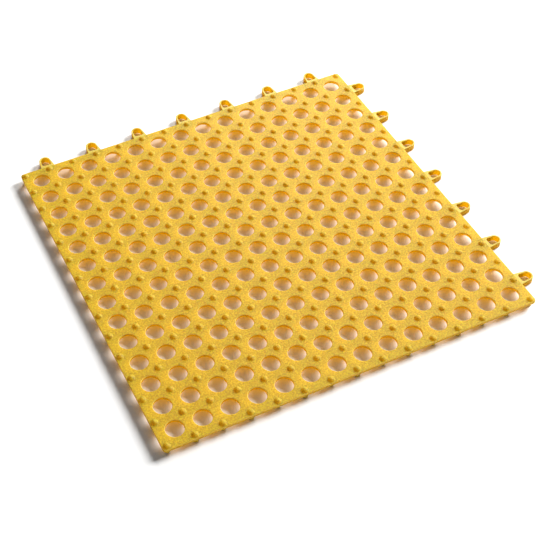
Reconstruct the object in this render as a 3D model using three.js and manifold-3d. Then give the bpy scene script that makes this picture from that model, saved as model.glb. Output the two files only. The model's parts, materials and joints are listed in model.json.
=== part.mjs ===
// An interlocking drainage mat for a shower floor, moulded in one piece of soft yellow PVC.
// Units are millimetres and Z points up. The origin is on the floor under the middle foot,
// which is the middle of the square sheet. X runs along the front edge, Y towards the back.

import * as THREE from 'three';
import { mergeGeometries, mergeVertices } from 'three/addons/utils/BufferGeometryUtils.js';
import Module from 'manifold-3d';

// Sheet
const MAT_SIDE = 300;
const SHEET_THICKNESS = 2.5;
const CORNER_RADIUS = 2.5;

// Grid: a foot under every crossing point, a hole in the middle of every cell
const CELLS_PER_SIDE = 14;
const EDGE_MARGIN = 3.5;
const HOLE_DIAMETER = 13.6;

// Feet, and the thicker feet that drop into the loops of the next mat
const FOOT_HEIGHT = 4.1;
const FOOT_ROOT_DIAMETER = 5.2;
const FOOT_TIP_DIAMETER = 3.6;
const PEG_ROOT_DIAMETER = 6;
const PEG_TIP_DIAMETER = 4.8;

// Loops on the back and right edges
const LOOP_REACH = 13.3;
const LOOP_END_DIAMETER = 9.6;
const LOOP_ROOT_WIDTH = 12;
const LOOP_ROOT_DEPTH = 2.6;
const LOOP_TIP_WALL = 1.5;
const EYE_START = 2.6;
const EYE_ROOT_WIDTH = 7.8;
const EYE_END_DIAMETER = 6.8;
const LOOP_FLOOR_CLEARANCE = 0.4;
const LOOP_RIM_DROP = 0.8;

// Facets of the round features
const HOLE_SIDES = 8;
const FOOT_SIDES = 4;
const PEG_SIDES = 6;
const CORNER_STEPS = 3;
const LOOP_END_STEPS = 4;

// How far a foot reaches into the sheet
const JOIN_DEPTH = 0.6;

// Corners closer than this are one corner
const MERGE_DISTANCE = 0.0001;

// Values worked out from the sizes above
const CELL = (MAT_SIDE - 2 * EDGE_MARGIN) / CELLS_PER_SIDE;
const HALF_SIDE = MAT_SIDE / 2;
const HALF_GRID = HALF_SIDE - EDGE_MARGIN;
const SHEET_BOTTOM = FOOT_HEIGHT;
const SHEET_TOP = FOOT_HEIGHT + SHEET_THICKNESS;
const LOOP_RIM = SHEET_TOP - LOOP_RIM_DROP;

const wasm = await Module();
wasm.setup();

// The place of a grid line, counted from the front or the left edge.
function gridLine(index) {
  return index * CELL - HALF_GRID;
}

// Radius at the corners of a regular polygon with the same area as a circle.
function facetRadius(diameter, sides) {
  const areaOfUnitPolygon = (sides / 2) * Math.sin((2 * Math.PI) / sides);
  return (diameter / 2) * Math.sqrt(Math.PI / areaOfUnitPolygon);
}

// Points of an arc round a centre, both ends included.
function arcPoints(x, y, radius, startAngle, endAngle, steps) {
  const points = [];
  for (let step = 0; step <= steps; step += 1) {
    const angle = startAngle + ((endAngle - startAngle) * step) / steps;
    points.push(new THREE.Vector2(x + radius * Math.cos(angle), y + radius * Math.sin(angle)));
  }
  return points;
}

// A closed outline drawn out upwards between two levels.
function drawnOut(shape, bottom, top) {
  const geometry = new THREE.ExtrudeGeometry(shape, { depth: top - bottom, bevelEnabled: false });
  geometry.translate(0, 0, bottom);
  return geometry;
}

// A closed mesh as a solid that can be joined to others.
function toSolid(geometry) {
  const bare = geometry.clone();
  bare.deleteAttribute('normal');
  bare.deleteAttribute('uv');
  const merged = mergeVertices(bare, MERGE_DISTANCE);
  const vertProperties = new Float32Array(merged.attributes.position.array);
  const triVerts = new Uint32Array(merged.index.array);
  return new wasm.Manifold(new wasm.Mesh({ numProp: 3, vertProperties, triVerts }));
}

// A joined solid as a mesh again, with flat faces.
function toGeometry(solid) {
  const mesh = solid.getMesh();
  const geometry = new THREE.BufferGeometry();
  geometry.setAttribute('position', new THREE.BufferAttribute(mesh.vertProperties, mesh.numProp));
  geometry.setIndex(new THREE.BufferAttribute(mesh.triVerts, 1));
  const faceted = geometry.toNonIndexed();
  faceted.computeVertexNormals();
  return faceted;
}

// The square outline of the sheet, with its rounded corners.
function sheetOutline() {
  const inset = HALF_SIDE - CORNER_RADIUS;
  const points = [];
  for (let corner = 0; corner < 4; corner += 1) {
    const start = (corner * Math.PI) / 2;
    const middle = start + Math.PI / 4;
    const x = Math.SQRT2 * inset * Math.cos(middle);
    const y = Math.SQRT2 * inset * Math.sin(middle);
    points.push(...arcPoints(x, y, CORNER_RADIUS, start, start + Math.PI / 2, CORNER_STEPS));
  }
  return new THREE.Shape(points);
}

// One drainage hole as an outline, with flats facing along X and Y.
function holeOutline(x, y) {
  const radius = facetRadius(HOLE_DIAMETER, HOLE_SIDES);
  const turn = Math.PI / HOLE_SIDES;
  const points = arcPoints(x, y, radius, turn, turn + 2 * Math.PI, HOLE_SIDES);
  points.pop();
  return new THREE.Path(points);
}

// The sheet with a hole in the middle of every cell.
function perforatedSheet() {
  const outline = sheetOutline();
  for (let column = 0; column < CELLS_PER_SIDE; column += 1) {
    for (let row = 0; row < CELLS_PER_SIDE; row += 1) {
      outline.holes.push(holeOutline(gridLine(column + 0.5), gridLine(row + 0.5)));
    }
  }
  return drawnOut(outline, SHEET_BOTTOM, SHEET_TOP);
}

// One foot: a taper from its tip on the floor to its root, going on into the sheet.
function foot(x, y, rootDiameter, tipDiameter, sides) {
  const height = FOOT_HEIGHT + JOIN_DEPTH;
  const taper = (rootDiameter - tipDiameter) / FOOT_HEIGHT;
  const topDiameter = rootDiameter + taper * JOIN_DEPTH;
  const topRadius = facetRadius(topDiameter, sides);
  const tipRadius = facetRadius(tipDiameter, sides);
  const geometry = new THREE.CylinderGeometry(topRadius, tipRadius, height, sides);
  geometry.rotateX(Math.PI / 2);
  geometry.translate(x, y, height / 2);
  return geometry;
}

// The feet at odd places along the front and left edges are the pegs.
function isPeg(column, row) {
  const onFront = row === 0 && column % 2 === 1;
  const onLeft = column === 0 && row % 2 === 1;
  return onFront || onLeft;
}

function allFeet() {
  const feet = [];
  for (let column = 0; column <= CELLS_PER_SIDE; column += 1) {
    for (let row = 0; row <= CELLS_PER_SIDE; row += 1) {
      const x = gridLine(column);
      const y = gridLine(row);
      if (isPeg(column, row)) {
        feet.push(foot(x, y, PEG_ROOT_DIAMETER, PEG_TIP_DIAMETER, PEG_SIDES));
      } else {
        feet.push(foot(x, y, FOOT_ROOT_DIAMETER, FOOT_TIP_DIAMETER, FOOT_SIDES));
      }
    }
  }
  return mergeGeometries(feet);
}

// An eye-shaped outline that points along +X: a straight root, sides that lean in, a round end.
function eyeOutline(rootX, rootWidth, endX, endDiameter) {
  const radius = endDiameter / 2;
  const lean = Math.atan2((rootWidth - endDiameter) / 2, endX - radius - rootX);
  const swing = Math.PI / 2 - lean;
  const round = arcPoints(endX - radius, 0, radius, -swing, swing, LOOP_END_STEPS);
  const root = [new THREE.Vector2(rootX, rootWidth / 2), new THREE.Vector2(rootX, -rootWidth / 2)];
  return [...round, ...root];
}

// One loop standing out from the right edge at a given place along it.
function loop(place) {
  const outline = new THREE.Shape(
    eyeOutline(-LOOP_ROOT_DEPTH, LOOP_ROOT_WIDTH, LOOP_REACH, LOOP_END_DIAMETER),
  );
  const eyeEnd = LOOP_REACH - LOOP_TIP_WALL;
  const eye = new THREE.Path(eyeOutline(EYE_START, EYE_ROOT_WIDTH, eyeEnd, EYE_END_DIAMETER));
  outline.holes.push(eye);
  const geometry = drawnOut(outline, LOOP_FLOOR_CLEARANCE, LOOP_RIM);
  geometry.translate(HALF_SIDE, place, 0);
  return geometry;
}

// Seven loops on the right edge, at the odd grid lines, and the same seven on the back edge.
function allLoops() {
  const loops = [];
  for (let line = 1; line < CELLS_PER_SIDE; line += 2) {
    const onRight = loop(gridLine(line));
    const onBack = loop(-gridLine(line)).rotateZ(Math.PI / 2);
    loops.push(onRight, onBack);
  }
  return mergeGeometries(loops);
}

function drainageMat() {
  const solid = toSolid(perforatedSheet())
    .add(toSolid(allFeet()))
    .add(toSolid(allLoops()));
  const softPvc = new THREE.MeshStandardMaterial({ color: '#dcb43c', roughness: 0.6, metalness: 0 });
  const mesh = new THREE.Mesh(toGeometry(solid), softPvc);
  mesh.name = 'drainage_mat';
  return mesh;
}

const mat = new THREE.Group();
mat.add(drainageMat());

export default mat;
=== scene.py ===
"""A soft PVC drainage mat for a shower floor, dressed for the studio.

The mat is one moulded piece: a thin sheet with a square grid of round holes, a low domed stud on
every crossing point of the grid, a foot under every stud, and a row of eye-shaped loops on the back
and right edges that take the pegs of the next mat. The surface is worked out in millimetres and put
into the meshes in metres.
"""

import json
import logging
import math
from dataclasses import dataclass, field
from enum import Enum

import bpy
import numpy as np
from mathutils import Matrix, Vector


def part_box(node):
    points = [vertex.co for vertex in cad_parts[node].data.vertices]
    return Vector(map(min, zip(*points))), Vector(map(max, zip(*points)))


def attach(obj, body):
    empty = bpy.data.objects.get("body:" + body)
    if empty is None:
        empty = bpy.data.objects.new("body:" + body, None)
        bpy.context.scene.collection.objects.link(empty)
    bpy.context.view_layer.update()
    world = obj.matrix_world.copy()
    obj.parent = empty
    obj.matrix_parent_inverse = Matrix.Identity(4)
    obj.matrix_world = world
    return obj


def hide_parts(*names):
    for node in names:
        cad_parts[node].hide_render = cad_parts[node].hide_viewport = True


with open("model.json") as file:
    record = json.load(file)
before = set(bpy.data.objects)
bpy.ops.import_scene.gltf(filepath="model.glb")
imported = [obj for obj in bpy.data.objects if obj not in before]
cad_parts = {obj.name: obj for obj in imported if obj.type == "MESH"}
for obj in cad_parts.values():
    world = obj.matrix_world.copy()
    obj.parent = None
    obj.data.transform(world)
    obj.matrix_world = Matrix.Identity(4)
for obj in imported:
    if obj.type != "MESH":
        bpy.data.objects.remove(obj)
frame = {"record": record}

LOG = logging.getLogger("drainage_mat")
MM = 0.001
NODE = "drainage_mat"
BODY = "root"
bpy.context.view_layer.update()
LIGHT_SHARE = "light_share"
# Name of the attribute that holds the painted highlight on the lips of holes and edges and on the
# loops' rims.
PAINTED_HIGHLIGHT = "painted_highlight"


def mount_mm(name: str) -> np.ndarray:
    """Give the place of one of the record's mounts.

    Args:
        name: the mount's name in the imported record.

    Returns:
        Its position in millimetres, as an array of three numbers.
    """
    places = {mount["name"]: mount["pos_m"] for mount in frame["record"]["mounts"]}
    return np.array(places[name], float) / MM


def linear(hex_colour: str) -> tuple[float, float, float, float]:
    """Turn an sRGB hex colour into linear light.

    A dark level is divided by 12.92. A lighter one has 0.055 added, is divided by 1.055 and is
    raised to the power of 2.4.

    Args:
        hex_colour: six hex digits after a hash sign.

    Returns:
        Red, green, blue and an alpha of one.
    """
    levels = np.array([int(hex_colour[i:i + 2], 16) for i in (1, 3, 5)]) / 255
    light = np.where(levels <= 0.04045, levels / 12.92, ((levels + 0.055) / 1.055) ** 2.4)
    return (*light.tolist(), 1.0)


def quarter_turn(points: np.ndarray, turns: int) -> np.ndarray:
    """Turn points in the plane by whole quarter turns, without rounding.

    Args:
        points: places whose first two columns are x and y.
        turns: how many quarter turns anticlockwise.

    Returns:
        The turned copy, where each turn sends (x, y) to (-y, x).
    """
    turned = points.copy()
    for _ in range(turns % 4):
        turned[..., 0], turned[..., 1] = -turned[..., 1].copy(), turned[..., 0].copy()
    return turned


def dress(piece: bpy.types.Object, finish: bpy.types.Material) -> None:
    """Give a piece its finish and fasten it to the mat's body.

    Args:
        piece: the piece to dress.
        finish: its material.
    """
    piece.data.materials.append(finish)
    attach(piece, BODY)
    LOG.info("%s: %d faces", piece.name, len(piece.data.polygons))


@dataclass(frozen=True)
class MatSizes:
    """Sizes that every part of the mat shares, in millimetres."""

    half_side: float
    floor_level: float
    sheet_bottom: float
    sheet_top: float
    loop_rim: float
    loop_reach: float
    cells: int = 14
    edge_margin: float = 3.5
    hole_radius: float = 6.8
    lip: float = 0.5
    corner_radius: float = 2.5

    @classmethod
    def from_frame(cls) -> "MatSizes":
        """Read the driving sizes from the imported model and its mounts.

        Returns:
            The mat's sizes.
        """
        _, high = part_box(NODE)
        half_side = float(mount_mm("right_butt_edge")[0])
        sheet_top = float(mount_mm("tread")[2])
        middle_of_wall = float(mount_mm("front_butt_edge")[2])
        return cls(
            half_side=half_side,
            floor_level=float(mount_mm("middle_foot")[2]),
            sheet_bottom=2 * middle_of_wall - sheet_top,
            sheet_top=sheet_top,
            loop_rim=float(mount_mm("back_loop_rim")[2]),
            loop_reach=high.x / MM - half_side,
        )

    @property
    def cell(self) -> float:
        """Distance between neighbouring grid lines."""
        return 2 * (self.half_side - self.edge_margin) / self.cells

    def grid_line(self, index: np.ndarray | float) -> np.ndarray | float:
        """Place of a grid line, counted from the front or the left edge."""
        return index * self.cell - (self.half_side - self.edge_margin)


@dataclass(frozen=True)
class Translucency:
    """Share of the light, from 0 to 1, that the PVC lets through: more where it is thinner."""

    tread: float = 0.5
    wall: float = 0.75
    edge: float = 0.2
    underside: float = 0.95
    stud: float = 0.58
    foot: float = 0.1
    loop: float = 0.5
    loop_rim: float = 0.3


@dataclass
class Surface:
    """A mesh under construction: corner places in millimetres, normals, looks and faces.

    The looks are two columns: the share of light let through, and the strength of the painted
    highlight on a lip or a rim.
    """

    places: np.ndarray
    normals: np.ndarray
    looks: np.ndarray
    quads: np.ndarray
    triangles: np.ndarray = field(default_factory=lambda: np.zeros((0, 3), int))

    @staticmethod
    def joined(parts: list["Surface"]) -> "Surface":
        """Put several surfaces into one, each with its own corners.

        Args:
            parts: the surfaces to join.

        Returns:
            One surface that holds them all.
        """
        starts = np.cumsum([0] + [len(part.places) for part in parts[:-1]])
        return Surface(
            np.concatenate([part.places for part in parts]),
            np.concatenate([part.normals for part in parts]),
            np.concatenate([part.looks for part in parts]),
            np.concatenate([part.quads + start for part, start in zip(parts, starts)]),
            np.concatenate([part.triangles + start for part, start in zip(parts, starts)]),
        )

    def repeated(self, shifts: np.ndarray) -> "Surface":
        """Copy the surface to many places in the plane.

        Args:
            shifts: one row of x and y for each copy.

        Returns:
            One surface with all the copies.
        """
        offsets = np.column_stack([shifts, np.zeros(len(shifts))])
        places = (self.places[None] + offsets[:, None]).reshape(-1, 3)
        normals = np.tile(self.normals, (len(shifts), 1))
        looks = np.tile(self.looks, (len(shifts), 1))
        first = np.arange(len(shifts))[:, None, None] * len(self.places)
        quads = (self.quads[None] + first).reshape(-1, 4)
        triangles = (self.triangles[None] + first).reshape(-1, 3)
        return Surface(places, normals, looks, quads, triangles)

    def turned(self, turns: int) -> "Surface":
        """Copy the surface, turned by whole quarter turns about the vertical."""
        places, normals = quarter_turn(self.places, turns), quarter_turn(self.normals, turns)
        return Surface(places, normals, self.looks, self.quads, self.triangles)

    def faced_down(self) -> "Surface":
        """Turn the faces over, and the upward share of the normals with them.

        Returns:
            The same places, with faces and normals that look down.
        """
        normals = self.normals * [1.0, 1.0, -1.0]
        return Surface(
            self.places, normals, self.looks, self.quads[:, ::-1], self.triangles[:, ::-1],
        )

    def welded(self, grid: float = 1e-3) -> "Surface":
        """Merge corners that lie on the same spot, so that neighbours share them.

        Args:
            grid: the spacing, in millimetres, within which two corners are one.

        Returns:
            The surface with shared corners and no face of zero width.
        """
        keys = np.round(self.places / grid).astype(np.int64)
        _, first, inverse = np.unique(keys, axis=0, return_index=True, return_inverse=True)
        inverse = inverse.reshape(-1)
        return Surface(
            self.places[first], self.normals[first], self.looks[first],
            inverse[self.quads], inverse[self.triangles],
        )

    def to_object(self, name: str) -> bpy.types.Object:
        """Make the Blender object, smooth shaded, with its place in its mesh.

        Args:
            name: the object's name.

        Returns:
            The new object at the origin, unturned and unscaled.
        """
        mesh = bpy.data.meshes.new(name)
        loops = np.concatenate([self.quads.ravel(), self.triangles.ravel()])
        sides = np.repeat([4, 3], [len(self.quads), len(self.triangles)])
        mesh.vertices.add(len(self.places))
        mesh.vertices.foreach_set("co", (self.places * MM).astype(np.float32).ravel())
        mesh.loops.add(len(loops))
        mesh.loops.foreach_set("vertex_index", loops.astype(np.int32))
        mesh.polygons.add(len(sides))
        starts = np.concatenate([[0], np.cumsum(sides)[:-1]])
        mesh.polygons.foreach_set("loop_start", starts.astype(np.int32))
        mesh.polygons.foreach_set("use_smooth", np.ones(len(sides), bool))
        mesh.update(calc_edges=True)
        mesh.validate()
        mesh.normals_split_custom_set_from_vertices(self.normals)
        for look, values in zip((LIGHT_SHARE, PAINTED_HIGHLIGHT), self.looks.T):
            layer = mesh.attributes.new(look, "FLOAT", "POINT")
            layer.data.foreach_set("value", values.astype(np.float32))
        piece = bpy.data.objects.new(name, mesh)
        bpy.context.scene.collection.objects.link(piece)
        return piece


def ring_faces(rings: int, around: int) -> np.ndarray:
    """Number the quads between closed rings of corners.

    Args:
        rings: how many rings there are, each stored after the last.
        around: how many corners a ring has.

    Returns:
        One row of four corner numbers for each quad. A quad faces the reader where the rings
        run anticlockwise and each next ring lies inside the last.
    """
    ring = np.arange(rings - 1)[:, None] * around
    step = np.arange(around)[None]
    after = (step + 1) % around
    corners = [ring + step, ring + after, ring + around + after, ring + around + step]
    return np.stack(corners, axis=-1).reshape(-1, 4)


def strip_faces(rows: int, columns: int) -> np.ndarray:
    """Number the quads of an open grid of corners, stored row after row.

    Args:
        rows: how many rows of corners there are.
        columns: how many corners are in a row.

    Returns:
        One row of four corner numbers for each quad.
    """
    row = np.arange(rows - 1)[:, None] * columns
    column = np.arange(columns - 1)[None]
    corners = [row + column, row + column + 1, row + columns + column + 1, row + columns + column]
    return np.stack(corners, axis=-1).reshape(-1, 4)


class TileKind(Enum):
    """Where a tile of the sheet lies. A tile is the part of the mat round one stud."""

    INNER = "between four holes"
    EDGE = "open towards the front"
    CORNER = "open towards the front and the left"


class FootKind(Enum):
    """What stands under a stud."""

    FOOT = "plain foot"
    PEG = "thicker foot that drops into a loop"


@dataclass(frozen=True)
class Stud:
    """A low dome: a cap of a sphere that runs out into the sheet in a small fillet."""

    radius: float = 2.62
    height: float = 1.6
    skirt: float = 2.95
    fillet_reach: float = 0.04
    fillet_rise: float = 0.13
    fillet_lean: float = 40.0
    cap_angles: tuple[float, ...] = (50.0, 34.0, 17.0)

    def profile(self) -> np.ndarray:
        """Work out the dome from its foot to just below its top.

        A cap of height h on a base of radius a belongs to a sphere of radius
        (a squared plus h squared) over 2h, and its points are that sphere's sine and cosine.

        Returns:
            Rows of radius, height above the sheet, and the normal's lean from the vertical.
        """
        sphere = (self.radius ** 2 + self.height ** 2) / (2 * self.height)
        angles = np.radians(self.cap_angles)
        radii = sphere * np.sin(angles)
        heights = self.height - sphere * (1 - np.cos(angles))
        cap = np.column_stack([radii, heights, angles])
        fillet = np.array([
            [self.skirt, 0.0, 0.0],
            [self.radius + self.fillet_reach, self.fillet_rise, math.radians(self.fillet_lean)],
        ])
        return np.concatenate([fillet, cap])


@dataclass(frozen=True)
class Foot:
    """A tapered foot with a rounded tip, which runs out into the sheet in a small fillet.

    The leans are those of the surface's normal from straight down, in degrees.
    """

    root_radius: float
    tip_radius: float
    skirt: float
    fillet: float = 0.35
    tip_round: float = 0.5
    root_lean: float = 60.0
    side_lean: float = 75.0
    tip_lean: float = 15.0

    def profile(self, height: float) -> np.ndarray:
        """Work out the foot from the sheet down to the edge of its flat tip.

        Args:
            height: from the floor to the underside of the sheet.

        Returns:
            Rows of radius, height above the floor, and the normal's lean from straight down.
        """
        return np.array([
            [self.skirt, height, 0.0],
            [self.root_radius, height - self.fillet, math.radians(self.root_lean)],
            [self.tip_radius, self.tip_round, math.radians(self.side_lean)],
            [self.tip_radius - self.tip_round, 0.0, math.radians(self.tip_lean)],
        ])


FEET = {
    FootKind.FOOT: Foot(root_radius=2.5, tip_radius=1.85, skirt=2.9),
    FootKind.PEG: Foot(root_radius=2.8, tip_radius=2.45, skirt=2.97),
}


@dataclass
class MouldedSheet:
    """The sheet with its holes, studs and feet, as one closed skin laid out in tiles.

    A tile has a closed outline on the flat of the sheet. Inside it, rings run in to the stud on
    top and to the foot below. Along a hole or an outer edge, a strip runs over a rounded lip, down
    the wall and back under. Neighbouring tiles meet on the lines half way between their studs.
    """

    sizes: MatSizes
    arc_steps: int = 6
    edge_steps: int = 10
    corner_steps: int = 4
    side_steps: int = 6
    lip_steps: int = 3
    lower_lip: float = 0.3
    lower_lip_lean: float = 105.0
    stud: Stud = field(default_factory=Stud)
    translucency: Translucency = field(default_factory=Translucency)

    @property
    def half_cell(self) -> float:
        """Distance from a stud to the seam with its neighbour."""
        return self.sizes.cell / 2

    @property
    def rim_radius(self) -> float:
        """Radius round a hole at which its rounded lip begins."""
        return self.sizes.hole_radius + self.sizes.lip

    @property
    def edge_line(self) -> float:
        """Distance from the outer studs to where the lip of the outer edge begins."""
        return self.sizes.edge_margin - self.sizes.lip

    def seam(self, start: float, end: float) -> np.ndarray:
        """The seam on the right of a tile, from one place along it to another past the middle."""
        along = np.array([start, 0.0, end])
        return np.column_stack([np.full(3, self.half_cell), along])

    def hole_arc(self) -> tuple[np.ndarray, np.ndarray]:
        """The quarter of the hole beyond the tile's far right corner.

        Each place is the middle of the hole plus the rim's radius times the cosine and the sine
        of an angle, which runs in even steps.

        Returns:
            The arc's places, from the right seam to the far one, and the way out of the
            material at each, which points at the middle of the hole.
        """
        angles = np.linspace(1.5 * math.pi, math.pi, self.arc_steps + 1)
        spokes = np.column_stack([np.cos(angles), np.sin(angles)])
        return self.half_cell + self.rim_radius * spokes, -spokes

    def outline(self, kind: TileKind) -> list[tuple[np.ndarray, np.ndarray | None]]:
        """List the stretches of a tile's outline, anticlockwise round its stud.

        Args:
            kind: where the tile lies.

        Returns:
            Each stretch as its places and the way out of the material, or None on a seam.
        """
        web = self.half_cell - self.rim_radius
        arc, outward = self.hole_arc()
        whole_seam = self.seam(-web, web)
        stretches: list[tuple[np.ndarray, np.ndarray | None]] = []
        if kind is TileKind.INNER:
            for turns in range(4):
                stretches.append((quarter_turn(whole_seam, turns), None))
                stretches.append((quarter_turn(arc, turns), quarter_turn(outward, turns)))
            return stretches
        cut_seam = self.seam(-self.edge_line, web)
        stretches.append((cut_seam, None))
        stretches.append((arc, outward))
        if kind is TileKind.EDGE:
            stretches.append((quarter_turn(whole_seam, 1), None))
            stretches.append((quarter_turn(arc, 1), quarter_turn(outward, 1)))
            stretches.append((cut_seam[::-1] * [-1, 1], None))
            stretches.append(self.front_edge())
            return stretches
        stretches.append((cut_seam[::-1, ::-1].copy(), None))
        stretches.append(self.corner_edge())
        return stretches

    def front_edge(self) -> tuple[np.ndarray, np.ndarray]:
        """Lay out the outer edge in front of a stud, in even steps of angle as seen from the stud.

        A place's way across is the edge's distance times the tangent of its angle.

        Returns:
            The edge's places, from left to right, and the way out of the material at each.
        """
        reach = math.atan2(self.half_cell, self.edge_line)
        angles = np.linspace(-reach, reach, self.edge_steps + 1)
        across = self.edge_line * np.tan(angles)
        across[[0, -1]] = [-self.half_cell, self.half_cell]
        places = np.column_stack([across, np.full(len(across), -self.edge_line)])
        return places, np.tile([0.0, -1.0], (len(places), 1))

    def corner_edge(self) -> tuple[np.ndarray, np.ndarray]:
        """Lay out the outer edge round a corner of the mat.

        The bend is a quarter circle. The sides run on from it in even steps of angle as seen from
        the stud, each place at the edge's distance times the tangent of its angle.

        Returns:
            The edge's places, down the left side, round the bend and along the front, and the way
            out of the material at each.
        """
        radius = self.sizes.corner_radius - self.sizes.lip
        middle = self.edge_line - radius
        angles = np.linspace(math.pi, 1.5 * math.pi, self.corner_steps + 1)
        spokes = np.column_stack([np.cos(angles), np.sin(angles)])
        bend = radius * spokes - middle
        far = math.atan2(self.half_cell, self.edge_line)
        near = -math.atan2(middle, self.edge_line)
        along = self.edge_line * np.tan(np.linspace(far, near, self.side_steps + 1))[:-1]
        along[0] = self.half_cell
        side = np.column_stack([np.full(len(along), -self.edge_line), along])
        places = np.concatenate([side, bend, side[::-1, ::-1]])
        ways = np.concatenate([
            np.tile([-1.0, 0.0], (len(side), 1)), spokes, np.tile([0.0, -1.0], (len(side), 1)),
        ])
        return places, ways

    def lip_profile(self) -> np.ndarray:
        """Work out the section of a wall, from the flat top to the flat underside.

        The upper lip is a quarter circle: its way out is the sine of the angle times the lip,
        and its drop is one minus the cosine. The lower lip is a short slope.

        Returns:
            Rows of the way out from the outline, the height above the floor, and the normal's
            lean from the vertical.
        """
        lip, top, bottom = self.sizes.lip, self.sizes.sheet_top, self.sizes.sheet_bottom
        angles = np.linspace(0, math.pi / 2, self.lip_steps + 1)
        upper = np.column_stack([lip * np.sin(angles), top - lip * (1 - np.cos(angles)), angles])
        lower = np.array([
            [lip, bottom + self.lower_lip, math.radians(self.lower_lip_lean)],
            [0.0, bottom, math.pi],
        ])
        return np.concatenate([upper, lower])

    def wall(self, places: np.ndarray, outward: np.ndarray, wall_share: float) -> Surface:
        """Carry the lip section along a hole or an outer edge.

        A place is the outline's place plus the section's way out times the outward direction, at
        the section's height. The painted highlight on the lip is strongest half way down, where the
        sine of pi times its share of depth is one.

        Args:
            places: the stretch of the outline on the flat of the sheet.
            outward: the way out of the material at each place.
            wall_share: the share of light that the wall lets through.

        Returns:
            The strip from the top, over the lip, down the wall and to the underside.
        """
        way, height, lean = self.lip_profile().T[:, None, :, None]
        flat = places[:, None] + outward[:, None] * way
        rows, columns = flat.shape[:2]
        level = np.broadcast_to(height, (rows, columns, 1))
        upward = np.broadcast_to(np.cos(lean), (rows, columns, 1))
        grid = np.concatenate([flat, level], axis=-1)
        normals = np.concatenate([outward[:, None] * np.sin(lean), upward], axis=-1)
        depth = np.clip((self.sizes.sheet_top - self.lip_profile()[:, 1]) / self.sizes.lip, 0, 1)
        light = np.full(len(depth), self.translucency.tread)
        # The section's last two corners are the foot of the wall and the underside.
        light[-2:] = [wall_share, self.translucency.underside]
        # Painted highlight: the rounded lip is painted paler, most at its middle, where light
        # catches it.
        highlight_strength = np.sin(np.pi * depth)
        looks = np.tile(np.column_stack([light, highlight_strength]), (rows, 1))
        faces = strip_faces(rows, columns)
        return Surface(grid.reshape(-1, 3), normals.reshape(-1, 3), looks, faces)

    def capped(
        self,
        loop: np.ndarray,
        level: float,
        profile: np.ndarray,
        end: float,
        shares: tuple[float, float],
    ) -> Surface:
        """Run rings from an outline in to a round feature, and close it at its middle.

        Each ring keeps the directions in which the outline's corners are seen from the stud, so
        the quads don't twist: a ring's place is its radius times that direction.

        Args:
            loop: the outline, anticlockwise.
            level: the outline's height.
            profile: rows of radius, height and lean of the normal, from the outside in.
            end: the height of the middle.
            shares: the share of light let through by the sheet and by the round feature.

        Returns:
            The surface, with faces and normals that look up.
        """
        spokes = loop / np.linalg.norm(loop, axis=1, keepdims=True)
        around = len(loop)
        rings = [np.column_stack([loop, np.full(around, level)])]
        normals = [np.tile([0.0, 0.0, 1.0], (around, 1))]
        for radius, height, lean in profile:
            rings.append(np.column_stack([radius * spokes, np.full(around, height)]))
            upward = np.full(around, math.cos(lean))
            normals.append(np.column_stack([math.sin(lean) * spokes, upward]))
        places = np.concatenate([*rings, [[0.0, 0.0, end]]])
        normals = np.concatenate([*normals, [[0.0, 0.0, 1.0]]])
        sheet_corners, feature_corners = 2 * around, len(places) - 2 * around
        light = np.repeat(shares, [sheet_corners, feature_corners])
        looks = np.column_stack([light, np.zeros(len(places))])
        last = (len(rings) - 1) * around
        step = np.arange(around)
        fan = [last + step, last + (step + 1) % around, np.full(around, len(places) - 1)]
        return Surface(places, normals, looks, ring_faces(len(rings), around), np.column_stack(fan))

    def tile(self, kind: TileKind, foot: FootKind) -> Surface:
        """Make one tile, with its stud at the origin.

        Args:
            kind: where the tile lies.
            foot: what stands under the stud.

        Returns:
            The tile's skin: top, underside and walls, open only on its seams.
        """
        sizes = self.sizes
        stretches = self.outline(kind)
        loop = np.concatenate([places[:-1] for places, _ in stretches])
        rise = self.stud.profile() + [0.0, sizes.sheet_top, 0.0]
        share = self.translucency
        crown = sizes.sheet_top + self.stud.height
        top = self.capped(loop, sizes.sheet_top, rise, crown, (share.tread, share.stud))
        leg = FEET[foot].profile(sizes.sheet_bottom - sizes.floor_level)
        drop = leg + [0.0, sizes.floor_level, 0.0]
        below = (share.underside, share.foot)
        under = self.capped(loop, sizes.sheet_bottom, drop, sizes.floor_level, below).faced_down()
        walls = []
        for number, (places, outward) in enumerate(stretches, start=1):
            # The last stretch of an edge or a corner tile is the outer edge of the mat.
            outer = kind is not TileKind.INNER and number == len(stretches)
            if outward is not None:
                walls.append(self.wall(places, outward, share.edge if outer else share.wall))
        return Surface.joined([top, under, *walls])

    def build(self, finish: bpy.types.Material) -> bpy.types.Object:
        """Lay out all the tiles, weld them into one closed skin and dress it.

        Args:
            finish: the sheet's material.

        Returns:
            The sheet's object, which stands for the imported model.
        """
        count = self.sizes.cells
        inner = np.arange(1, count)
        odd, even = inner[inner % 2 == 1], inner[inner % 2 == 0]
        across, back = np.meshgrid(inner, inner, indexing="ij")
        crossings = np.column_stack([across.ravel(), back.ravel()])
        middle = self.tile(TileKind.INNER, FootKind.FOOT)
        parts = [middle.repeated(self.sizes.grid_line(crossings))]
        plain = self.tile(TileKind.EDGE, FootKind.FOOT)
        pegged = self.tile(TileKind.EDGE, FootKind.PEG)
        for turns in range(4):
            # Without a turn an edge is the front one, and after three turns the left one.
            has_pegs = turns in (0, 3)
            for tile, lines in ((pegged if has_pegs else plain, odd), (plain, even)):
                front = np.column_stack([lines, np.zeros(len(lines))])
                edge = quarter_turn(self.sizes.grid_line(front), turns)
                parts.append(tile.turned(turns).repeated(edge))
            corner = self.tile(TileKind.CORNER, FootKind.FOOT).turned(turns)
            spot = self.sizes.grid_line(np.zeros((1, 2)))
            parts.append(corner.repeated(quarter_turn(spot, turns)))
        sheet = Surface.joined(parts).welded().to_object("moulded_sheet")
        dress(sheet, finish)
        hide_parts(NODE)
        return sheet


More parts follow.
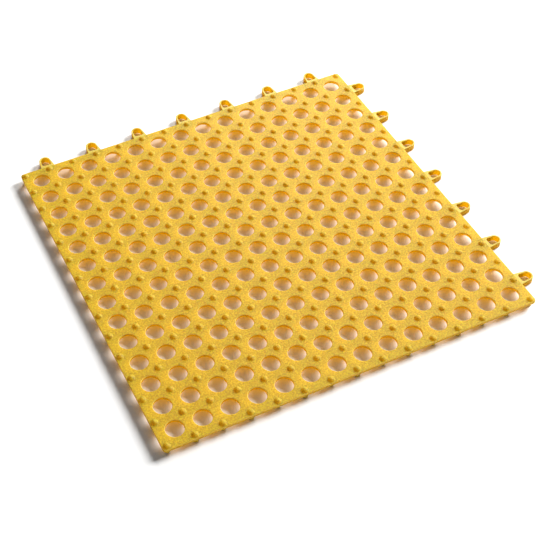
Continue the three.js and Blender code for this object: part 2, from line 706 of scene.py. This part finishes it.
@dataclass
class EdgeLoops:
    """The eye-shaped loops on the right and back edges, which take the pegs of the next mat.

    A loop is a low wall that runs round its eye. It is laid out pointing along +X with the edge
    of the sheet at zero, and its root lies inside the sheet and under it.
    """

    sizes: MatSizes
    end_diameter: float = 9.6
    root_width: float = 12.0
    root_depth: float = 2.6
    tip_wall: float = 1.5
    eye_start: float = 2.6
    eye_root_width: float = 7.8
    eye_end_diameter: float = 6.8
    root_bend: float = 0.8
    eye_bend: float = 1.8
    floor_gap: float = 0.4
    rim_round: float = 0.45
    foot_round: float = 0.25
    foot_lean: float = 100.0
    # Strength of the painted highlight on the loops' rims.
    rim_highlight: float = 0.4
    end_steps: int = 18
    side_steps: int = 5
    bend_steps: int = 4
    root_steps: int = 6
    translucency: Translucency = field(default_factory=Translucency)

    def outline(
        self, root: float, width: float, end: float, diameter: float, bend: float,
    ) -> np.ndarray:
        """Work out a closed outline: a round end, sides that lean in, and a root with round bends.

        The end and the bends are arcs, each a middle plus a radius times the cosine and the sine
        of an angle. The sides and the root are straight lines between them.

        Args:
            root: where the straight root lies, out from the edge.
            width: the outline's width at its root.
            end: how far out the round end reaches.
            diameter: the width of the round end.
            bend: the radius of the two bends at the root.

        Returns:
            The outline's places, anticlockwise, with the same number of steps for any sizes.
        """
        radius = diameter / 2
        middle = end - radius
        lean = math.atan2((width - diameter) / 2, middle - root)
        swing = math.pi / 2 - lean
        angles = np.linspace(-swing, swing, self.end_steps + 1)
        tip = np.column_stack([middle + radius * np.cos(angles), radius * np.sin(angles)])
        turn = np.linspace(swing, math.pi, self.bend_steps + 1)
        centre = np.array([root + bend, width / 2 - bend])
        upper = centre + bend * np.column_stack([np.cos(turn), np.sin(turn)])
        share = np.linspace(0, 1, self.side_steps + 1)[1:-1, None]
        side = tip[-1] + (upper[0] - tip[-1]) * share
        half = np.concatenate([side, upper])
        cross = np.linspace(upper[-1, 1], -upper[-1, 1], self.root_steps + 1)[1:-1]
        back = np.column_stack([np.full(len(cross), root), cross])
        return np.concatenate([tip, half, back, half[::-1] * [1, -1]])

    def section(self, outer: np.ndarray, inner: np.ndarray) -> tuple[np.ndarray, np.ndarray]:
        """Carry the wall's section round the loop, between its outer outline and its eye.

        The section is a bar with a well rounded rim and a slightly rounded lower edge. Its rows
        hold the depth into the bar, the height, and the normal's lean from the vertical in degrees.
        A place is the outline's place plus that depth times the way to the other outline.

        Args:
            outer: the outer outline.
            inner: the outline of the eye, step for step.

        Returns:
            A grid of places, round the loop and then round the section, and its normals.
        """
        across = inner - outer
        way = across / np.linalg.norm(across, axis=1, keepdims=True)
        rim_level = self.sizes.loop_rim
        bevel = 1 - math.sqrt(0.5)
        half = [
            (0.0, self.floor_gap + self.foot_round, self.foot_lean),
            (0.0, rim_level - self.rim_round, 90.0),
            (bevel * self.rim_round, rim_level - bevel * self.rim_round, 45.0),
            (self.rim_round, rim_level, 0.0),
        ]
        foot = (self.foot_round, self.floor_gap, 180.0)
        outside = [(outer, way, *row) for row in (foot, *half)]
        inside = [(inner, -way, *row) for row in (*half[::-1], foot)]
        places, normals = [], []
        for start, inward, depth, height, lean in (*outside, *inside):
            flat = start + depth * inward
            level = np.broadcast_to(height, len(flat))
            places.append(np.column_stack([flat, level]))
            tilt = math.radians(lean)
            upward = np.full(len(flat), math.cos(tilt))
            normals.append(np.column_stack([-math.sin(tilt) * inward, upward]))
        return np.stack(places, axis=1), np.stack(normals, axis=1)

    def one(self) -> Surface:
        """Make one loop, pointing along +X from the right edge, at the middle of the edge.

        Returns:
            The loop's closed skin.
        """
        reach = self.sizes.loop_reach
        eye_end = reach - self.tip_wall
        outer = self.outline(
            -self.root_depth, self.root_width, reach, self.end_diameter, self.root_bend,
        )
        inner = self.outline(
            self.eye_start, self.eye_root_width, eye_end, self.eye_end_diameter, self.eye_bend,
        )
        grid, normals = self.section(outer, inner)
        around, section = grid.shape[:2]
        step = np.arange(around)[:, None]
        point = np.arange(section)[None]
        next_step, next_point = (step + 1) % around, (point + 1) % section
        corners = [
            step * section + point,
            next_step * section + point,
            next_step * section + next_point,
            step * section + next_point,
        ]
        quads = np.stack(np.broadcast_arrays(*corners), axis=-1).reshape(-1, 4)
        places = grid.reshape(-1, 3) + [self.sizes.half_side, 0.0, 0.0]
        height = places[:, 2]
        rim_share = np.clip((height - self.sizes.loop_rim) / self.rim_round + 1, 0, 1)
        share = self.translucency
        light = share.loop + (share.loop_rim - share.loop) * rim_share
        # The rims get the painted highlight and let less light through.
        looks = np.column_stack([light, self.rim_highlight * rim_share])
        return Surface(places, normals.reshape(-1, 3), looks, quads)

    def build(self, finish: bpy.types.Material) -> bpy.types.Object:
        """Set a loop on every odd grid line of the right edge, and the same on the back edge.

        Args:
            finish: the loops' material.

        Returns:
            The object that holds all the loops.
        """
        lines = self.sizes.grid_line(np.arange(1, self.sizes.cells, 2))
        right = self.one().repeated(np.column_stack([np.zeros(len(lines)), lines]))
        back = right.turned(1)
        loops = Surface.joined([right, back]).to_object("edge_loops")
        dress(loops, finish)
        return loops


def add_node(tree: bpy.types.NodeTree, kind: str, settings: dict, links: dict) -> bpy.types.Node:
    """Add a shader node with its settings and its incoming links.

    Args:
        tree: the material's or the world's node tree.
        kind: the node's type name.
        settings: property names, or input sockets by name or number, with their values.
        links: input sockets by name or number, with the output socket that feeds each.

    Returns:
        The new node.
    """
    node = tree.nodes.new(kind)
    for key, value in settings.items():
        if isinstance(key, str) and hasattr(node, key):
            setattr(node, key, value)
        else:
            node.inputs[key].default_value = value
    for key, source in links.items():
        tree.links.new(source, node.inputs[key])
    return node


@dataclass(frozen=True)
class SoftPvc:
    """Plasticised PVC, moulded against a finely blasted tool.

    To the eye it is a matt, slightly waxy yellow with a fine grain and a fine speckle. Light
    passes through it, so holes and loops that are lit from behind glow deep orange. A blasted
    tool's own grain is too fine to show in the render, so grain and speckle are drawn coarser.
    """

    tread: str = "#948B02"
    tread_pale: str = "#DFD822"
    # Painted shade: a deeper orange on the walls, for the shade and bounced light inside the holes.
    walls: str = "#BCA00C"
    # Painted highlight: the pale colour laid on lips and rims where light catches them.
    highlight_tint: str = "#E6DC7C"
    glow: str = "#FDD53C"
    roughness: float = 0.56
    roughness_spread: float = 0.06
    refraction: float = 1.53
    noise_detail: float = 2.0
    speckle_mm: float = 1.3
    speckle_fineness: float = 0.6
    speckle_range: tuple[float, float] = (0.35, 0.65)
    grain_mm: float = 0.8
    grain_fineness: float = 0.55
    grain_depth_mm: float = 0.25
    # Where the painted wall shade begins below the tread and where it is full.
    wall_shade_starts: float = 0.4
    wall_shade_full_mm: float = 0.6
    scatter_mm: float = 1.5
    scatter_share: float = 0.2
    scatter_reach: tuple[float, float, float] = (1.0, 0.45, 0.08)

    def skin(
        self, tree: bpy.types.NodeTree, place: bpy.types.NodeSocket, sizes: MatSizes,
    ) -> bpy.types.NodeSocket:
        """Mix the colour: speckled on the tread, even on the walls, and pale on lips and rims.

        The walls' deeper orange is painted shade and bounced light: it begins a share of the lip
        below the tread, and is full a little above the underside. The pale lips and rims are a
        painted highlight.

        Args:
            tree: the material's node tree.
            place: the output that gives each point's place on the mat.
            sizes: the mat's sizes, which say where the tread ends and the walls begin.

        Returns:
            The output that carries the colour.
        """
        speckle = add_node(
            tree, "ShaderNodeTexNoise",
            {
                "Scale": 1 / (self.speckle_mm * MM),
                "Detail": self.noise_detail,
                "Roughness": self.speckle_fineness,
            },
            {"Vector": place},
        )
        lowest, highest = self.speckle_range
        pale = add_node(
            tree, "ShaderNodeMapRange",
            {"From Min": lowest, "From Max": highest},
            {"Value": speckle.outputs["Fac"]},
        )
        tread = add_node(
            tree, "ShaderNodeMix",
            {"data_type": "RGBA", 6: linear(self.tread), 7: linear(self.tread_pale)},
            {0: pale.outputs["Result"]},
        )
        height = add_node(tree, "ShaderNodeSeparateXYZ", {}, {"Vector": place}).outputs["Z"]
        # Painted shade: the walls turn deeper orange, from a share of the lip down to the
        # underside.
        depth = add_node(
            tree, "ShaderNodeMapRange",
            {
                "From Min": (sizes.sheet_top - sizes.lip * self.wall_shade_starts) * MM,
                "From Max": (sizes.sheet_bottom + self.wall_shade_full_mm) * MM,
            },
            {"Value": height},
        )
        body = add_node(
            tree, "ShaderNodeMix",
            {"data_type": "RGBA", 7: linear(self.walls)},
            {0: depth.outputs["Result"], 6: tread.outputs[2]},
        )
        # Painted highlight: the pale colour on lips and rims, from the mesh's highlight attribute.
        highlight_strength = add_node(tree, "ShaderNodeAttribute", {"attribute_name": PAINTED_HIGHLIGHT}, {})
        highlight_tint = add_node(
            tree, "ShaderNodeMix",
            {"data_type": "RGBA", 7: linear(self.highlight_tint)},
            {0: highlight_strength.outputs["Fac"], 6: body.outputs[2]},
        )
        return highlight_tint.outputs[2]

    def grain(
        self, tree: bpy.types.NodeTree, place: bpy.types.NodeSocket,
    ) -> tuple[bpy.types.NodeSocket, bpy.types.NodeSocket]:
        """Work out the grain of the blasted tool.

        Args:
            tree: the material's node tree.
            place: the output that gives each point's place on the mat.

        Returns:
            The outputs that carry the bumped normal and the roughness.
        """
        grain = add_node(
            tree, "ShaderNodeTexNoise",
            {
                "Scale": 1 / (self.grain_mm * MM),
                "Detail": self.noise_detail,
                "Roughness": self.grain_fineness,
            },
            {"Vector": place},
        )
        relief = add_node(
            tree, "ShaderNodeBump",
            {"Strength": 1.0, "Distance": self.grain_depth_mm * MM},
            {"Height": grain.outputs["Fac"]},
        )
        sheen = add_node(
            tree, "ShaderNodeMapRange",
            {
                "To Min": self.roughness - self.roughness_spread,
                "To Max": self.roughness + self.roughness_spread,
            },
            {"Value": grain.outputs["Fac"]},
        )
        return relief.outputs["Normal"], sheen.outputs["Result"]

    def material(self, sizes: MatSizes) -> bpy.types.Material:
        """Build the material: a matt skin, mixed with the light that the PVC lets through.

        Args:
            sizes: the mat's sizes.

        Returns:
            The finished material.
        """
        finish = bpy.data.materials.new("soft_pvc_moulded")
        finish.use_nodes = True
        tree = finish.node_tree
        tree.nodes.clear()
        place = add_node(tree, "ShaderNodeTexCoord", {}, {}).outputs["Object"]
        normal, roughness = self.grain(tree, place)
        surface = add_node(
            tree, "ShaderNodeBsdfPrincipled",
            {
                "IOR": self.refraction,
                "Subsurface Weight": self.scatter_share,
                "Subsurface Radius": self.scatter_reach,
                "Subsurface Scale": self.scatter_mm * MM,
            },
            {"Base Color": self.skin(tree, place, sizes), "Roughness": roughness, "Normal": normal},
        )
        through = add_node(
            tree, "ShaderNodeBsdfTranslucent", {"Color": linear(self.glow)}, {"Normal": normal},
        )
        share = add_node(tree, "ShaderNodeAttribute", {"attribute_name": LIGHT_SHARE}, {})
        body = add_node(
            tree, "ShaderNodeMixShader", {},
            {0: share.outputs["Fac"], 1: surface.outputs["BSDF"], 2: through.outputs["BSDF"]},
        )
        add_node(tree, "ShaderNodeOutputMaterial", {}, {"Surface": body.outputs["Shader"]})
        return finish


@dataclass(frozen=True)
class StudioFloor:
    """A wide sheet of matt white paper under the mat.

    Its fibres are too fine to show in the render, so they are drawn coarser.
    """

    colour: str = "#F4F4F3"
    half_width: float = 4.0
    roughness: float = 0.9
    specular: float = 0.2
    fibre_mm: float = 2.0
    fibre_depth_mm: float = 0.02
    fibre_strength: float = 0.1

    def build(self, level: float) -> bpy.types.Object:
        """Lay the paper at floor level.

        Args:
            level: the floor's height, in metres.

        Returns:
            The floor's object.
        """
        paper = bpy.data.materials.new("studio_paper")
        paper.use_nodes = True
        tree = paper.node_tree
        tree.nodes.clear()
        place = add_node(tree, "ShaderNodeTexCoord", {}, {}).outputs["Object"]
        fibre = add_node(
            tree, "ShaderNodeTexNoise", {"Scale": 1 / (self.fibre_mm * MM)}, {"Vector": place},
        )
        relief = add_node(
            tree, "ShaderNodeBump",
            {"Strength": self.fibre_strength, "Distance": self.fibre_depth_mm * MM},
            {"Height": fibre.outputs["Fac"]},
        )
        shader = add_node(
            tree, "ShaderNodeBsdfPrincipled",
            {
                "Base Color": linear(self.colour),
                "Roughness": self.roughness,
                "Specular IOR Level": self.specular,
            },
            {"Normal": relief.outputs["Normal"]},
        )
        add_node(tree, "ShaderNodeOutputMaterial", {}, {"Surface": shader.outputs["BSDF"]})
        half = self.half_width
        mesh = bpy.data.meshes.new("studio_floor")
        outline = ((-half, -half), (half, -half), (half, half), (-half, half))
        mesh.from_pydata([(x, y, level) for x, y in outline], [], [(0, 1, 2, 3)])
        mesh.materials.append(paper)
        floor = bpy.data.objects.new("studio_floor", mesh)
        bpy.context.scene.collection.objects.link(floor)
        return floor


@dataclass(frozen=True)
class SoftLight:
    """One round soft light, set by the direction that it shines from.

    The angles are in degrees, the azimuth from +X, and the lengths in metres.
    """

    name: str
    azimuth: float
    elevation: float
    distance: float
    size: float
    power: float
    colour: str = "#FFFFFF"

    def build(self) -> bpy.types.Object:
        """Hang the light so that it faces the middle of the mat.

        Returns:
            The light's object.
        """
        lamp = bpy.data.lights.new(self.name, "AREA")
        lamp.shape = "DISK"
        lamp.size = self.size
        lamp.energy = self.power
        lamp.color = linear(self.colour)[:3]
        turn, tilt = math.radians(self.azimuth), math.radians(self.elevation)
        level = math.cos(tilt)
        way = Vector((math.cos(turn) * level, math.sin(turn) * level, math.sin(tilt)))
        light = bpy.data.objects.new(self.name, lamp)
        light.location = way * self.distance
        light.rotation_euler = way.to_track_quat("Z", "Y").to_euler()
        bpy.context.scene.collection.objects.link(light)
        return light


@dataclass(frozen=True)
class Studio:
    """The lights: a low key from the right, a small soft light behind, and dim surroundings."""

    surroundings: float = 0.18
    surroundings_colour: str = "#FFFFFF"
    key: SoftLight = SoftLight(
        "key_light", azimuth=8, elevation=29, distance=4.0, size=2.0, power=370,
    )
    back: SoftLight = SoftLight(
        "back_light", azimuth=60, elevation=23, distance=1.3, size=0.4, power=14,
    )

    def build(self) -> None:
        """Set the surroundings, the two lights and the plain rendering of colours."""
        scene = bpy.context.scene
        world = bpy.data.worlds.new("white_studio")
        world.use_nodes = True
        tree = world.node_tree
        tree.nodes.clear()
        glow = add_node(
            tree, "ShaderNodeBackground",
            {"Color": linear(self.surroundings_colour), "Strength": self.surroundings}, {},
        )
        add_node(tree, "ShaderNodeOutputWorld", {}, {"Surface": glow.outputs["Background"]})
        scene.world = world
        scene.view_settings.view_transform = "Standard"
        self.key.build()
        self.back.build()


@dataclass(frozen=True)
class Viewpoint:
    """The camera, placed from the grid of holes as the photograph shows it.

    Its place and aim are in millimetres from the middle of the tread, and its roll in degrees.
    Lens, sensor and the nearest distance that it sees are in millimetres too. The shift is there
    because the photograph was cropped to one side.
    """

    place: tuple[float, float, float] = (-282.7, -545.5, 641.0)
    aim: tuple[float, float, float] = (-55.6, -20.3, 0.0)
    roll: float = -2.15
    lens: float = 74.06
    sensor: float = 36.0
    shift: float = 0.118
    nearest: float = 10.0

    def build(self, level: float) -> bpy.types.Object:
        """Set up the camera.

        Args:
            level: the height of the tread above the floor, from which the heights count.

        Returns:
            The camera's object.
        """
        lift = Vector((0, 0, level))
        place, aim = Vector(self.place) + lift, Vector(self.aim) + lift
        data = bpy.data.cameras.new("camera")
        data.lens = self.lens
        data.sensor_width = self.sensor
        data.shift_x = self.shift
        data.clip_start = self.nearest * MM
        camera = bpy.data.objects.new("camera", data)
        facing = (place - aim).to_track_quat("Z", "Y").to_matrix().to_4x4()
        turn = Matrix.Rotation(math.radians(self.roll), 4, "Z")
        camera.matrix_world = Matrix.Translation(place * MM) @ facing @ turn
        bpy.context.scene.collection.objects.link(camera)
        bpy.context.scene.camera = camera
        return camera


def main() -> None:
    """Build the mat, its floor, its light and the camera."""
    logging.basicConfig(level=logging.INFO)
    sizes = MatSizes.from_frame()
    finish = SoftPvc().material(sizes)
    MouldedSheet(sizes).build(finish)
    EdgeLoops(sizes).build(finish)
    StudioFloor().build(sizes.floor_level * MM)
    Studio().build()
    Viewpoint().build(sizes.sheet_top)


if __name__ == "__main__":
    main()
